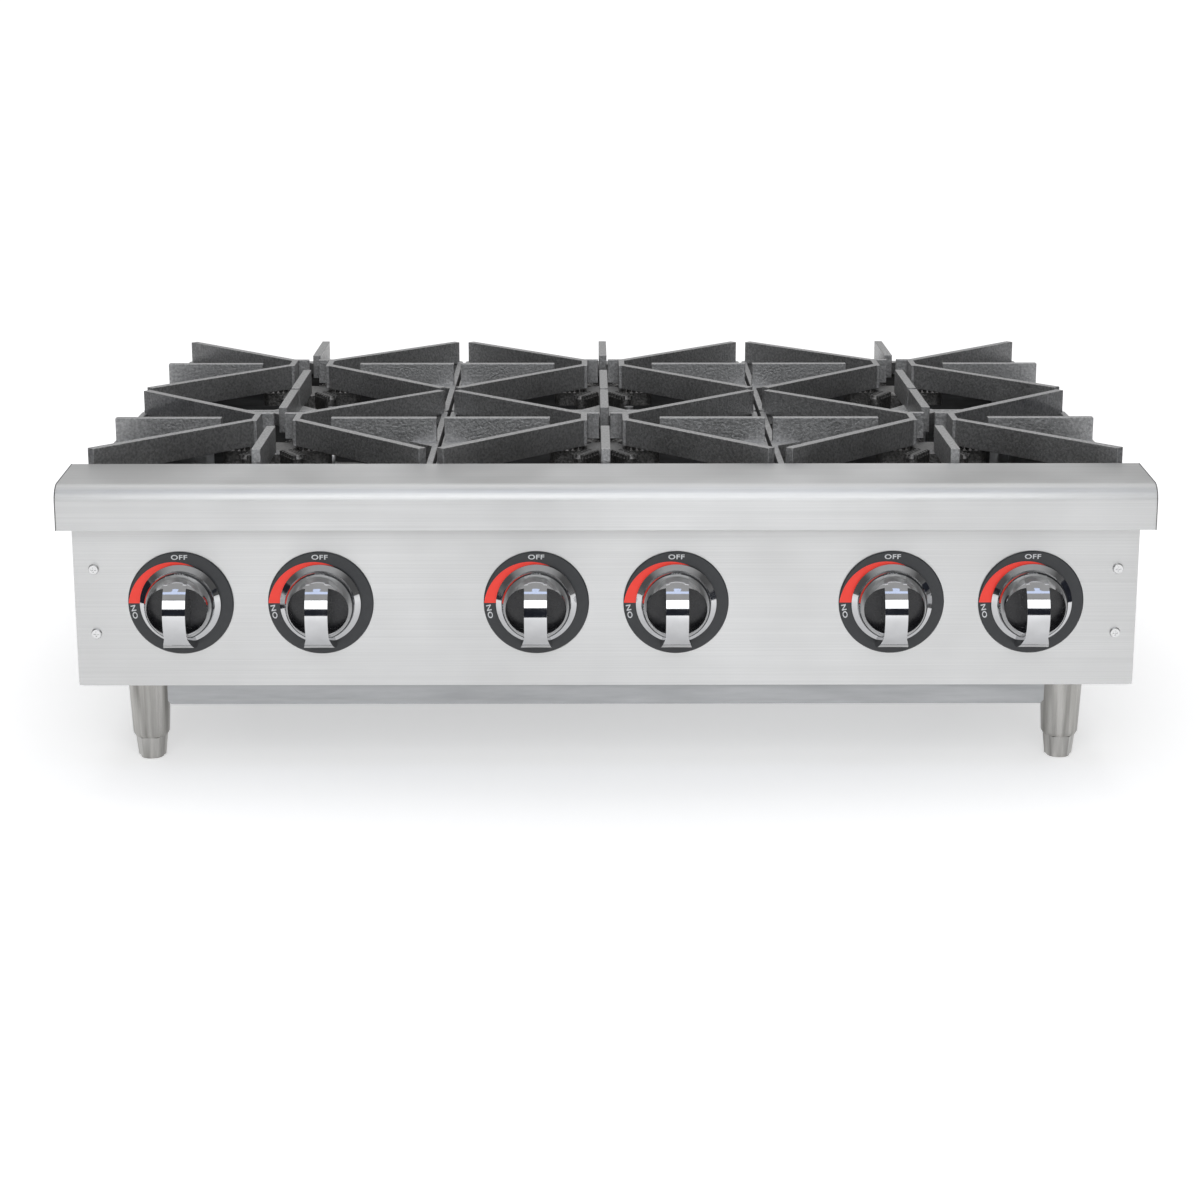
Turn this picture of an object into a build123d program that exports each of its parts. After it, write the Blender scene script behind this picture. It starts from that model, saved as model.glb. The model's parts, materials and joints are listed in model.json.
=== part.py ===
# Six-burner countertop gas hot plate.
# Millimetres. +Z up, +X to the right for someone standing at the knobs, front faces -Y.
# The origin is on the counter, under the middle of the whole appliance.
import math
import os

from build123d import *

os.makedirs("parts", exist_ok=True)

# Layout: three columns and two rows of burners, each under its own grate.
columns = 3
rows = 2
grate_width = 297.0
grate_length = 294.0
grate_gap = 3.0

# Heights of the main levels above the counter.
leg_height = 102.0
skirt_drop = 19.0
body_height = 140.0
grate_height = 34.0

# Sheet metal body.
sheet = 1.2
flange = 22.0
hem = 12.0
corner_radius = 4.0
joint_gap = 0.3
overrun = 5.0

# Bullnose ledge across the front.
ledge_side_overhang = 8.5
ledge_front_overhang = 20.0
ledge_depth = 76.0
ledge_drop = 19.0
ledge_rise = 22.0
ledge_slope = 3.0
ledge_nose_radius = 14.0
ledge_sheet = 1.6
ledge_rear_lip = 12.0
ledge_cap_edge = 0.8
grate_clearance = 2.0

# Knobs, bezels, valves and stems.
knob_rise = 54.0
knob_pitch = 118.0
knob_radius = 34.0
knob_skirt_edge = 2.0
knob_skirt_height = 5.0
knob_dome_radius = 29.5
knob_dome_neck = 1.0
knob_pocket_radius = 20.0
knob_pocket_offset = 5.5
knob_pocket_floor = 5.0
knob_grip_width = 19.0
knob_grip_radius = 32.0
knob_grip_drop = 4.0
knob_tail_width = 27.0
knob_tail_length = 14.0
knob_tail_reach = 2.0
knob_lift = 1.0
bezel_radius = 44.5
bezel_bore_radius = 16.0
bezel_thickness = 1.8
stem_radius = 4.0
stem_flat = 2.6
stem_fit = 0.05
stem_engagement = 14.0
stem_collar_radius = 6.5
stem_collar_height = 4.0
panel_hole_radius = 9.0
valve_setback = 16.0
valve_radius = 11.5
valve_length = 46.0
valve_flange_radius = 14.0
valve_flange_height = 7.0
valve_bore_depth = 12.0
valve_tail_radius = 8.0
valve_tail_length = 12.0
valve_nipple_radius = 8.0
valve_nipple_seat = 6.0
orifice_width = 13.0
orifice_length = 22.0
orifice_nose_length = 6.0
orifice_nose_radius = 4.0
orifice_seat = 5.0
orifice_thread_radius = 4.5

# Gas pipe work: three-quarter inch pipe.
pipe_radius = 13.35
pipe_bore_radius = 10.5
manifold_drop = 36.0
manifold_setback = 40.0
manifold_side_gap = 40.0
plug_radius = 15.0
plug_length = 12.0
inlet_side_gap = 21.5
inlet_bend_radius = 17.0
inlet_reach = 19.0
inlet_bore_depth = 30.0
inlet_thread_relief = 0.25
inlet_hole_clearance = 2.0

# Burners.
burner_drop = 27.0
burner_arms = 6
burner_arm_reach = 50.0
burner_arm_width = 13.0
burner_head_depth = 16.0
burner_hub_radius = 22.0
burner_edge = 3.0
burner_neck_radius = 17.0
burner_bowl_depth = 26.0
venturi_radius = 16.0
venturi_bore_radius = 12.5
venturi_mouth_radius = 22.0
venturi_mouth_length = 12.0
venturi_taper_length = 22.0
venturi_wall = 3.0
venturi_bore_depth = 45.0
venturi_bend_radius = 26.0
orifice_entry = 4.0
burner_lug_length = 20.0
burner_lug_width = 16.0
burner_foot_radius = 12.0

# Burner rails across the body and grate rails from front to back.
base_web = 2.0
base_flange_height = 23.0
base_flange_setback = 62.0
base_side_gap = 1.5
base_width = 75.0
burner_rail_width = 30.0
burner_rail_height = 12.5
burner_rail_overhang = 16.0
burner_rail_sheet = 2.0
front_rail_setback = 146.0
grate_rail_width = 34.0
grate_rail_height = 24.0
grate_rail_sheet = 1.5

# Pilot tubes.
pilot_radius = 3.2
pilot_offset = 26.0
pilot_rise = 32.0
pilot_bend_radius = 17.0
pilot_tip_radius = 4.5
pilot_tip_length = 14.0
pilot_tip_drop = 8.0
pilot_nut_radius = 7.0
pilot_nut_height = 12.0
pilot_head_gap = 6.0

# Crumb tray and its runners.
tray_width = 750.0
tray_lip_height = 18.0
tray_lip_setback = 7.0
tray_lip_gap = 1.0
tray_lip_bevel = 3.0
tray_lip_return = 8.0
tray_sheet = 1.0
tray_length = 624.0
tray_pan_inset = 11.0
tray_flange = 11.0
runner_sheet = 1.2
runner_side_gap = 1.5
runner_ledge = 11.0
runner_front_gap = 6.0
runner_setback = 14.0
runner_length = 590.0

# Legs and their adjustable feet.
leg_inset_x = 48.5
leg_inset_y = 62.0
leg_top_radius = 19.5
leg_bottom_radius = 16.0
leg_bottom_height = 20.0
leg_bore_depth = 60.0
leg_collar_height = 6.0
leg_edge = 1.8
leg_edge_rise = 3.5
foot_top_across = 24.6
foot_bottom_across = 21.0
foot_toe_radius = 10.2
foot_toe_height = 1.5
foot_stem_radius = 8.0
foot_stem_length = 54.0
foot_fit = 0.05
stud_radius = 4.75
stud_length = 14.0
stud_hole_radius = 5.1
weld_nut_radius = 9.5
weld_nut_height = 8.0
bracket_thickness = 3.0
bracket_margin = 3.0
bracket_inset = 14.0

# Grate casting.
grate_rail = 5.5
grate_rail_depth = 12.0
grate_corner = 5.0
bar_width = 8.0
bar_overlap = 2.0
bar_end_inset = 2.0
mid_bar_front_start = 40.0
mid_bar_rear_start = 50.0
mid_bar_side_start = 50.0
hub_half_width = 22.0
hub_front = 14.0
hub_rear = 26.0
hub_wall = 6.0
hub_slot = 10.0
gusset = 22.0

# Screws.
screw_head_radius = 4.6
screw_head_height = 2.2
screw_shank_radius = 2.0
screw_length = 8.0
screw_slot_width = 1.0
screw_slot_depth = 0.9
screw_inset_x = 17.0
screw_taper = 20.0
screw_low_rise = 46.0
screw_high_rise = 102.0

# Derived places.
grate_pitch_x = grate_width + grate_gap
grate_pitch_y = grate_length + grate_gap
body_width = columns * grate_width + (columns - 1) * grate_gap
ledge_width = body_width + 2 * ledge_side_overhang
grates_length = rows * grate_length + (rows - 1) * grate_gap
body_depth = ledge_depth - ledge_front_overhang + grates_length + 2 * grate_clearance
knob_depth = knob_skirt_height + knob_dome_neck + knob_grip_radius
knob_reach = bezel_thickness + knob_lift + knob_depth
total_depth = knob_reach + body_depth + inlet_reach

panel_y = -total_depth / 2 + knob_reach
panel_back_y = panel_y + sheet
rear_y = panel_y + body_depth
rear_inner_y = rear_y - sheet
ledge_front_y = panel_y - ledge_front_overhang
ledge_rear_y = ledge_front_y + ledge_depth

knob_height = leg_height + knob_rise
skirt_z = leg_height - skirt_drop
screw_low_height = skirt_z + screw_low_rise
screw_high_height = skirt_z + screw_high_rise
seat_z = leg_height + body_height
grate_top_z = seat_z + grate_height
ledge_top_z = seat_z + ledge_rise
ledge_front_top_z = ledge_top_z - ledge_slope
ledge_bottom_z = seat_z - ledge_drop
panel_top_z = ledge_front_top_z - ledge_sheet - joint_gap

first_row_y = ledge_rear_y + grate_clearance + grate_length / 2
column_xs = [(column - (columns - 1) / 2) * grate_pitch_x for column in range(columns)]
row_ys = [first_row_y + row * grate_pitch_y for row in range(rows)]
half_width = body_width / 2

manifold_y = panel_y + manifold_setback
manifold_z = knob_height - manifold_drop
valve_front_y = panel_y + valve_setback
valve_rear_y = valve_front_y + valve_length
valve_tail_y = valve_rear_y + valve_tail_length
orifice_end_y = valve_tail_y + orifice_length
mouth_y = orifice_end_y - orifice_entry
burner_top_z = grate_top_z - burner_drop
rail_top_z = leg_height + base_flange_height + burner_rail_height
inlet_x = half_width - inlet_side_gap
manifold_end_x = half_width - manifold_side_gap

leg_x = half_width - leg_inset_x
leg_front_y = panel_y + leg_inset_y
leg_rear_y = rear_y - leg_inset_y
base_outer_x = half_width - sheet - base_side_gap
base_inner_x = base_outer_x - base_width

row_names = ["front", "rear"]
column_names = ["left", "centre", "right"]


def save(piece, name):
    """Label one finished piece and write it to its own file."""
    piece.part.label = name
    export_step(piece.part, "parts/" + name + ".step")


# Side panels: a web with inward flanges at the top, the front and the rear, and a bottom hem.
for side, name in ((-1, "side_panel_left"), (1, "side_panel_right")):
    web_x = side * (half_width - sheet / 2)
    flange_x = side * (half_width - flange / 2)
    hem_x = side * (half_width - hem / 2)
    side_front_y = panel_back_y
    side_length = rear_inner_y - side_front_y
    side_mid_y = side_front_y + side_length / 2
    with BuildPart() as side_panel:
        with BuildSketch(Plane.XY.offset(skirt_z + sheet)):
            with Locations((web_x, side_mid_y)):
                Rectangle(sheet, side_length)
            for flange_y in (side_front_y + sheet / 2, rear_inner_y - sheet / 2):
                with Locations((flange_x, flange_y)):
                    Rectangle(flange, sheet)
        extrude(amount=seat_z - skirt_z - 2 * sheet)
        with BuildSketch(Plane.XY.offset(seat_z - sheet)):
            with Locations((flange_x, side_mid_y)):
                Rectangle(flange, side_length)
        extrude(amount=sheet)
        with BuildSketch(Plane.XY.offset(skirt_z)):
            with Locations((hem_x, side_mid_y)):
                Rectangle(hem, side_length)
        extrude(amount=sheet)
        with BuildSketch(Plane.XZ.offset(-side_front_y)):
            for hole_z in (screw_low_height, screw_high_height):
                with Locations((side * (half_width - screw_inset_x), hole_z)):
                    Circle(screw_shank_radius)
        extrude(amount=-2 * sheet, mode=Mode.SUBTRACT)
        if side > 0:
            with BuildSketch(Plane.XZ.offset(-rear_inner_y)):
                with Locations((inlet_x, manifold_z)):
                    Circle(pipe_radius + inlet_hole_clearance)
            extrude(amount=2 * sheet, mode=Mode.SUBTRACT)
    save(side_panel, name)

# Front panel: flat face with a return along the bottom and a flange under the ledge.
with BuildPart() as front_panel:
    with BuildSketch(Plane.XZ.offset(-panel_back_y)):
        with Locations((0, (skirt_z + panel_top_z) / 2)):
            Rectangle(body_width, panel_top_z - skirt_z)
        bottom_corners = vertices().group_by(Axis.Y)[0]
        fillet(bottom_corners, radius=corner_radius)
        for column_x in column_xs:
            for hand in (-1, 1):
                with Locations((column_x + hand * knob_pitch / 2, knob_height)):
                    Circle(panel_hole_radius, mode=Mode.SUBTRACT)
        for side in (-1, 1):
            for hole_z in (screw_low_height, screw_high_height):
                with Locations((side * (half_width - screw_inset_x), hole_z)):
                    Circle(screw_shank_radius, mode=Mode.SUBTRACT)
    extrude(amount=sheet)
    for flange_z, flange_width, flange_depth in (
        (skirt_z, body_width - 2 * (hem + joint_gap), hem),
        (panel_top_z - sheet, body_width, flange),
    ):
        with BuildSketch(Plane.XY.offset(flange_z)):
            with Locations((0, panel_back_y + flange_depth / 2)):
                Rectangle(flange_width, flange_depth)
        extrude(amount=sheet)
save(front_panel, "front_panel")

# Rear panel: flat sheet with a top flange and a hole for the gas pipe.
with BuildPart() as rear_panel:
    with BuildSketch(Plane.XZ.offset(-rear_y)):
        with Locations((0, (skirt_z + seat_z) / 2)):
            Rectangle(body_width, seat_z - skirt_z)
        with Locations((inlet_x, manifold_z)):
            Circle(pipe_radius + inlet_hole_clearance, mode=Mode.SUBTRACT)
    extrude(amount=sheet)
    for flange_z in (skirt_z, seat_z - sheet):
        with BuildSketch(Plane.XY.offset(flange_z)):
            with Locations((0, rear_inner_y - hem / 2)):
                Rectangle(body_width - 2 * (flange + joint_gap), hem)
        extrude(amount=sheet)
save(rear_panel, "rear_panel")

# Ledge: one bent sheet, sloping up to the grates, with a rounded nose and a rear lip.
with BuildSketch() as ledge_outline:
    with BuildLine():
        nose_y = ledge_front_y + ledge_nose_radius
        nose_z = ledge_front_top_z - ledge_nose_radius
        Polyline(
            (ledge_front_y, nose_z),
            (ledge_front_y, ledge_bottom_z),
            (ledge_rear_y, ledge_bottom_z),
            (ledge_rear_y, ledge_top_z),
            (nose_y, ledge_front_top_z),
        )
        RadiusArc((nose_y, ledge_front_top_z), (ledge_front_y, nose_z), -ledge_nose_radius)
    make_face()

with BuildPart() as front_ledge:
    with BuildSketch(Plane.YZ.offset(-ledge_width / 2)):
        add(ledge_outline.sketch)
        offset(amount=-ledge_sheet, kind=Kind.INTERSECTION, mode=Mode.SUBTRACT)
        with Locations((panel_y - joint_gap, ledge_bottom_z - overrun)):
            Rectangle(
                ledge_depth,
                ledge_top_z - ledge_slope - ledge_rear_lip - ledge_bottom_z + overrun,
                align=(Align.MIN, Align.MIN),
                mode=Mode.SUBTRACT,
            )
    extrude(amount=ledge_width)
save(front_ledge, "front_ledge")

# Ledge end caps: flat plates of the same outline, a little proud, lying on the ledge's ends.
with BuildPart() as ledge_end_caps:
    for cap_x in (-ledge_width / 2 - ledge_cap_edge, ledge_width / 2):
        with BuildSketch(Plane.YZ.offset(cap_x)):
            add(ledge_outline.sketch)
            with Locations((panel_y, ledge_bottom_z - overrun)):
                Rectangle(
                    ledge_depth,
                    ledge_top_z - ledge_slope - ledge_rear_lip - ledge_bottom_z + overrun,
                    align=(Align.MIN, Align.MIN),
                    mode=Mode.SUBTRACT,
                )
        extrude(amount=ledge_cap_edge)
save(ledge_end_caps, "ledge_end_caps")

# Base rails: a channel under each side, with the weld nuts that take the legs.
with BuildPart() as base_rails:
    base_length = rear_inner_y - panel_back_y - 2 * (sheet + joint_gap)
    base_mid_y = (rear_inner_y + panel_back_y) / 2
    for side in (-1, 1):
        base_mid_x = side * (base_outer_x + base_inner_x) / 2
        with BuildSketch(Plane.XY.offset(leg_height)):
            with Locations((base_mid_x, base_mid_y)):
                Rectangle(base_width, base_length)
        extrude(amount=base_web)
        with BuildSketch(Plane.XY.offset(leg_height)):
            for wall_x in (base_inner_x + base_web / 2, base_outer_x - base_web / 2):
                with Locations((side * wall_x, base_mid_y + base_length / 2)):
                    Rectangle(base_web, base_length - base_flange_setback, align=(Align.CENTER, Align.MAX))
        extrude(amount=base_flange_height)
        for leg_y in (leg_front_y, leg_rear_y):
            with BuildSketch(Plane.XY.offset(leg_height + base_web)):
                with Locations((side * leg_x, leg_y)):
                    RegularPolygon(weld_nut_radius, 6)
            extrude(amount=weld_nut_height)
            with BuildSketch(Plane.XY.offset(leg_height)):
                with Locations((side * leg_x, leg_y)):
                    Circle(stud_hole_radius)
            extrude(amount=base_web + weld_nut_height, mode=Mode.SUBTRACT)
        # An upright saddle on each rail carries the gas manifold.
        with BuildSketch(Plane.YZ.offset(side * (base_inner_x + bracket_inset) - bracket_thickness / 2)):
            with Locations((manifold_y, leg_height)):
                Rectangle(
                    2 * (pipe_radius + bracket_margin),
                    manifold_z - leg_height,
                    align=(Align.CENTER, Align.MIN),
                )
            with Locations((manifold_y, manifold_z)):
                Circle(pipe_radius + joint_gap, mode=Mode.SUBTRACT)
        extrude(amount=bracket_thickness)
save(base_rails, "base_rails")

# Burner rails: three channels across the body, which the burner castings stand on.
with BuildPart() as burner_rails:
    rail_length = 2 * (base_inner_x + burner_rail_overhang)
    for rail_y in [panel_y + front_rail_setback] + row_ys:
        with BuildSketch(Plane.XY.offset(rail_top_z - burner_rail_sheet)):
            with Locations((0, rail_y)):
                Rectangle(rail_length, burner_rail_width)
        extrude(amount=burner_rail_sheet)
        with BuildSketch(Plane.XY.offset(rail_top_z - burner_rail_height + joint_gap)):
            for hand in (-1, 1):
                with Locations((0, rail_y + hand * (burner_rail_width - burner_rail_sheet) / 2)):
                    Rectangle(rail_length, burner_rail_sheet)
        extrude(amount=burner_rail_height - joint_gap)
save(burner_rails, "burner_rails")

# Grate rails: two channels from front to back, which carry the inner edges of the grates.
with BuildPart() as grate_rails:
    grate_rail_length = rear_inner_y - panel_back_y - 2 * joint_gap
    for seam in range(columns - 1):
        seam_x = column_xs[seam] + grate_pitch_x / 2
        with BuildSketch(Plane.XY.offset(seat_z - grate_rail_sheet)):
            with Locations((seam_x, panel_back_y + joint_gap)):
                Rectangle(
                    grate_rail_width,
                    grate_rail_length - hem - joint_gap,
                    align=(Align.CENTER, Align.MIN),
                )
        extrude(amount=grate_rail_sheet)
        with BuildSketch(Plane.XY.offset(seat_z - grate_rail_height)):
            for hand in (-1, 1):
                wall_x = seam_x + hand * (grate_rail_width - grate_rail_sheet) / 2
                with Locations((wall_x, base_mid_y)):
                    Rectangle(grate_rail_sheet, grate_rail_length)
        extrude(amount=grate_rail_height - grate_rail_sheet)
save(grate_rails, "grate_rails")

# Gas manifold: a pipe across the front, tapped from above for each valve, plugged at the left.
with BuildPart() as gas_manifold:
    with BuildSketch(Plane.YZ.offset(-manifold_end_x)):
        with Locations((manifold_y, manifold_z)):
            Circle(pipe_radius)
    extrude(amount=2 * manifold_end_x)
    with BuildSketch(Plane.YZ.offset(-manifold_end_x)):
        with Locations((manifold_y, manifold_z)):
            RegularPolygon(plug_radius, 6)
    extrude(amount=plug_length)
    with BuildSketch(Plane.XY.offset(manifold_z + pipe_radius - valve_nipple_seat)):
        for column_x in column_xs:
            for hand in (-1, 1):
                with Locations((column_x + hand * knob_pitch / 2, manifold_y)):
                    Circle(valve_nipple_radius + stem_fit)
    extrude(amount=valve_nipple_seat + overrun, mode=Mode.SUBTRACT)
save(gas_manifold, "gas_manifold")

# Gas inlet: an elbow at the right of the manifold and a pipe that leaves through the back.
with BuildPart() as gas_inlet:
    with BuildLine():
        inlet_route = FilletPolyline(
            (manifold_end_x, manifold_y, manifold_z),
            (inlet_x, manifold_y, manifold_z),
            (inlet_x, rear_y + inlet_reach, manifold_z),
            radius=inlet_bend_radius,
        )
    with BuildSketch(Plane(origin=inlet_route @ 0, z_dir=inlet_route % 0)):
        Circle(pipe_radius)
    sweep(path=inlet_route)
    with BuildSketch(Plane.XZ.offset(-(rear_y + inlet_reach))):
        with Locations((inlet_x, manifold_z)):
            Circle(pipe_radius + overrun)
            Circle(pipe_radius - inlet_thread_relief, mode=Mode.SUBTRACT)
    extrude(amount=inlet_reach, mode=Mode.SUBTRACT)
    with BuildSketch(Plane.XZ.offset(-(rear_y + inlet_reach))):
        with Locations((inlet_x, manifold_z)):
            Circle(pipe_bore_radius)
    extrude(amount=inlet_bore_depth, mode=Mode.SUBTRACT)
save(gas_inlet, "gas_inlet")

# Burners: one iron casting each, a star head on a venturi that starts at its own valve.
head_bottom_z = burner_top_z - burner_head_depth
bowl_bottom_z = head_bottom_z - burner_bowl_depth
with BuildPart() as burner_head:
    with BuildSketch(Plane.XY.offset(head_bottom_z)):
        Circle(burner_hub_radius)
        with PolarLocations(0, burner_arms):
            SlotCenterPoint((burner_arm_reach / 2, 0), (burner_arm_reach - burner_arm_width / 2, 0), burner_arm_width)
    extrude(amount=burner_head_depth)
    chamfer(burner_head.faces().sort_by(Axis.Z)[-1].edges(), length=burner_edge)
    with BuildSketch(Plane.XZ):
        with BuildLine():
            Polyline(
                (0, bowl_bottom_z),
                (burner_neck_radius, bowl_bottom_z),
                (burner_hub_radius + burner_edge, head_bottom_z),
                (0, head_bottom_z),
                (0, bowl_bottom_z),
            )
        make_face()
    revolve(axis=Axis.Z)

for row, row_y in enumerate(row_ys):
    for column, column_x in enumerate(column_xs):
        hand = 1 if row else -1
        valve_x = column_x + hand * knob_pitch / 2
        with BuildPart() as burner:
            with Locations((column_x, row_y, 0)):
                add(burner_head.part)
            with BuildLine():
                venturi_route = FilletPolyline(
                    (valve_x, mouth_y + venturi_mouth_length, knob_height),
                    (valve_x, row_y, knob_height),
                    (column_x, row_y, knob_height),
                    (column_x, row_y, bowl_bottom_z + burner_edge),
                    radius=venturi_bend_radius,
                )
            with BuildSketch(Plane(origin=venturi_route @ 0, z_dir=venturi_route % 0)):
                Circle(venturi_radius)
            sweep(path=venturi_route)
            with BuildSketch(Plane.YZ.offset(valve_x)) as mouth_profile:
                with BuildLine():
                    Polyline(
                        (mouth_y, knob_height),
                        (mouth_y, knob_height + venturi_mouth_radius),
                        (mouth_y + venturi_mouth_length, knob_height + venturi_mouth_radius),
                        (mouth_y + venturi_mouth_length + venturi_taper_length, knob_height + venturi_radius),
                        (mouth_y + venturi_mouth_length + venturi_taper_length, knob_height),
                        (mouth_y, knob_height),
                    )
                make_face()
            revolve(axis=Axis(origin=(valve_x, mouth_y, knob_height), direction=(0, 1, 0)))
            with BuildSketch(Plane.XY.offset(rail_top_z + joint_gap)):
                with Locations((valve_x, panel_y + front_rail_setback)):
                    Rectangle(burner_lug_width, burner_lug_length)
            extrude(amount=knob_height - rail_top_z - joint_gap)
            with BuildSketch(Plane.XY.offset(rail_top_z + joint_gap)):
                with Locations((column_x, row_y)):
                    Circle(burner_foot_radius)
            extrude(amount=knob_height - rail_top_z + venturi_radius)
            with BuildSketch(Plane.XZ.offset(-mouth_y)):
                with Locations((valve_x, knob_height)):
                    Circle(venturi_bore_radius)
            extrude(amount=-venturi_bore_depth, mode=Mode.SUBTRACT)
            with BuildSketch(Plane.XZ.offset(-mouth_y)):
                with Locations((valve_x, knob_height)):
                    Circle(venturi_mouth_radius - venturi_wall)
            extrude(amount=-venturi_mouth_length, mode=Mode.SUBTRACT)
        save(burner, "burner_" + row_names[row] + "_" + column_names[column])

# Valves, stems, knobs and bezels, numbered from the left.
knob_back_y = panel_y - bezel_thickness - knob_lift
knob_xs = [column_x + hand * knob_pitch / 2 for column_x in column_xs for hand in (-1, 1)]

with BuildPart() as valve_body:
    with BuildSketch(Plane.YZ):
        with BuildLine():
            Polyline(
                (valve_front_y, 0),
                (valve_front_y, valve_flange_radius),
                (valve_front_y + valve_flange_height, valve_flange_radius),
                (valve_front_y + valve_flange_height, valve_radius),
                (valve_rear_y, valve_radius),
                (valve_rear_y, valve_tail_radius),
                (valve_tail_y, valve_tail_radius),
                (valve_tail_y, orifice_thread_radius),
                (valve_tail_y + orifice_seat, orifice_thread_radius),
                (valve_tail_y + orifice_seat, 0),
                (valve_front_y, 0),
            )
        make_face()
    revolve(axis=Axis.Y)
    with BuildSketch(Plane.XY.offset(pipe_radius - manifold_drop - valve_nipple_seat)):
        with Locations((0, manifold_y)):
            Circle(valve_nipple_radius)
    extrude(amount=manifold_drop - pipe_radius + valve_nipple_seat)
    with BuildSketch(Plane.XZ.offset(-valve_front_y)):
        Circle(stem_radius + stem_fit)
    extrude(amount=-valve_bore_depth, mode=Mode.SUBTRACT)

with BuildPart() as stem_turning:
    stem_back_y = valve_front_y + valve_bore_depth - joint_gap
    stem_front_y = knob_back_y - stem_engagement + joint_gap
    with BuildSketch(Plane.XZ.offset(-stem_back_y)):
        Circle(stem_radius)
    extrude(amount=stem_back_y - stem_front_y)
    with BuildSketch(Plane.XZ.offset(-(valve_front_y - joint_gap))):
        Circle(stem_collar_radius)
    extrude(amount=stem_collar_height)
    with BuildSketch(Plane.XZ.offset(-(panel_y - bezel_thickness))):
        with Locations((0, stem_flat)):
            Rectangle(2 * stem_radius, stem_radius, align=(Align.CENTER, Align.MIN))
    extrude(amount=stem_engagement + knob_lift, mode=Mode.SUBTRACT)

with BuildPart() as bezel_disc:
    with BuildSketch(Plane.XZ.offset(-panel_y)):
        Circle(bezel_radius)
        Circle(bezel_bore_radius, mode=Mode.SUBTRACT)
    extrude(amount=bezel_thickness)
    chamfer(bezel_disc.faces().sort_by(Axis.Y)[0].edges().sort_by(SortBy.RADIUS)[-1], length=bezel_thickness / 2)

with BuildPart() as orifice_hood:
    with BuildSketch(Plane.XZ.offset(-valve_tail_y)):
        RegularPolygon(orifice_width / 2, 6, major_radius=False)
    extrude(amount=-(orifice_length - orifice_nose_length))
    with BuildSketch(Plane.XZ.offset(-(orifice_end_y - orifice_nose_length))):
        Circle(orifice_nose_radius)
    extrude(amount=-orifice_nose_length)
    with BuildSketch(Plane.XZ.offset(-valve_tail_y)):
        Circle(orifice_thread_radius + stem_fit)
    extrude(amount=-(orifice_seat + joint_gap), mode=Mode.SUBTRACT)

# The knob is a ball on a skirt, with a pocket each side of a ridge that widens into a tail at the bottom.
knob_ball_y = -(knob_skirt_height + knob_dome_neck)
knob_tail_z = -(knob_radius + knob_tail_reach)
with BuildPart() as knob_grip:
    with BuildSketch(Plane.XZ):
        with BuildLine():
            Polyline(
                (-knob_grip_width / 2, knob_grip_radius - knob_grip_drop),
                (-knob_grip_width / 2, knob_tail_z + knob_tail_length),
                (-knob_tail_width / 2, knob_tail_z),
                (knob_tail_width / 2, knob_tail_z),
                (knob_grip_width / 2, knob_tail_z + knob_tail_length),
                (knob_grip_width / 2, knob_grip_radius - knob_grip_drop),
                close=True,
            )
        make_face()
    extrude(amount=knob_depth)
    with BuildSketch(Plane.YZ.offset(-knob_radius)):
        with Locations((knob_ball_y, -knob_grip_drop)):
            Circle(knob_grip_radius)
        with Locations((0, -knob_grip_drop)):
            Rectangle(-knob_ball_y, 2 * knob_grip_radius, align=(Align.MAX, Align.CENTER))
    extrude(amount=2 * knob_radius, mode=Mode.INTERSECT)

with BuildPart() as knob_casting:
    with BuildSketch(Plane.XY):
        with BuildLine():
            Polyline(
                (0, knob_ball_y - knob_dome_radius),
                (0, 0),
                (knob_radius, 0),
                (knob_radius, -knob_skirt_edge),
                (knob_dome_radius, -knob_skirt_height),
                (knob_dome_radius, knob_ball_y),
            )
            RadiusArc((knob_dome_radius, knob_ball_y), (0, knob_ball_y - knob_dome_radius), knob_dome_radius)
        make_face()
    revolve(axis=Axis.Y)
    with BuildSketch(Plane.XZ.offset(knob_skirt_height + knob_pocket_floor)):
        for hand in (-1, 1):
            with Locations((hand * knob_pocket_offset, 0)):
                Circle(knob_pocket_radius)
        Rectangle(knob_grip_width, 2 * knob_radius, mode=Mode.SUBTRACT)
    extrude(amount=knob_depth, mode=Mode.SUBTRACT)
    add(knob_grip.part)
    with BuildSketch(Plane.XZ):
        Circle(stem_radius + stem_fit)
        with Locations((0, stem_flat + stem_fit)):
            Rectangle(2 * knob_radius, stem_radius, align=(Align.CENTER, Align.MIN), mode=Mode.SUBTRACT)
    extrude(amount=stem_engagement, mode=Mode.SUBTRACT)

for number, knob_x in enumerate(knob_xs, start=1):
    with BuildPart() as valve:
        with Locations((knob_x, 0, knob_height)):
            add(valve_body.part)
    save(valve, "valve_" + str(number))
    with BuildPart() as valve_stem:
        with Locations((knob_x, 0, knob_height)):
            add(stem_turning.part)
    save(valve_stem, "valve_stem_" + str(number))
    with BuildPart() as bezel:
        with Locations((knob_x, 0, knob_height)):
            add(bezel_disc.part)
    save(bezel, "bezel_" + str(number))
    with BuildPart() as knob:
        with Locations((knob_x, knob_back_y, knob_height)):
            add(knob_casting.part)
    save(knob, "knob_" + str(number))

with BuildPart() as orifices:
    with Locations(*[(knob_x, 0, knob_height) for knob_x in knob_xs]):
        add(orifice_hood.part)
save(orifices, "orifices")

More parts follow.
